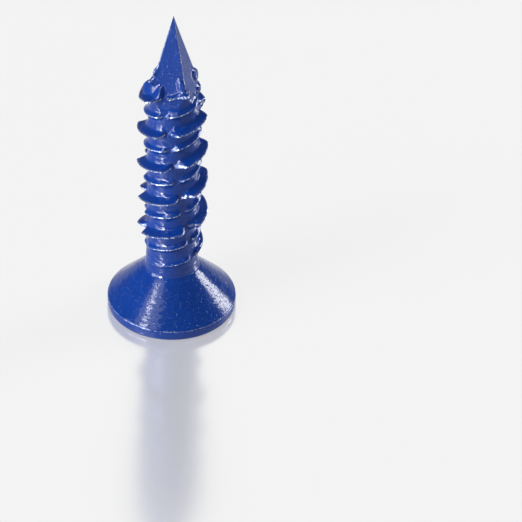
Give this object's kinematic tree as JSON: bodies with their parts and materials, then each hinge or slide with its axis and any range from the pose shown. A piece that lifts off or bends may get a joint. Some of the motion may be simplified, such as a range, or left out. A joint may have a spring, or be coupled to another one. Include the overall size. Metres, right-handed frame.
{
  "type": "concrete screw",
  "caption": "Blue-painted countersunk concrete screw with a cross recess, a notched high-low thread and a square nail point, standing on its head.",
  "frame": {"origin": "centre of the head's flat face, which stands on the floor", "axes": "+Z along the screw's axis from the head to the tip, -Y towards the camera, one wing of the recess along +X"},
  "size_m": [0.0116, 0.0116, 0.0318],
  "materials": {
    "blue_paint": "glossy baked paint with a fine orange-peel texture"
  },
  "bodies": {
    "root": {"concrete_screw": "blue_paint"}
  },
  "joints": []
}
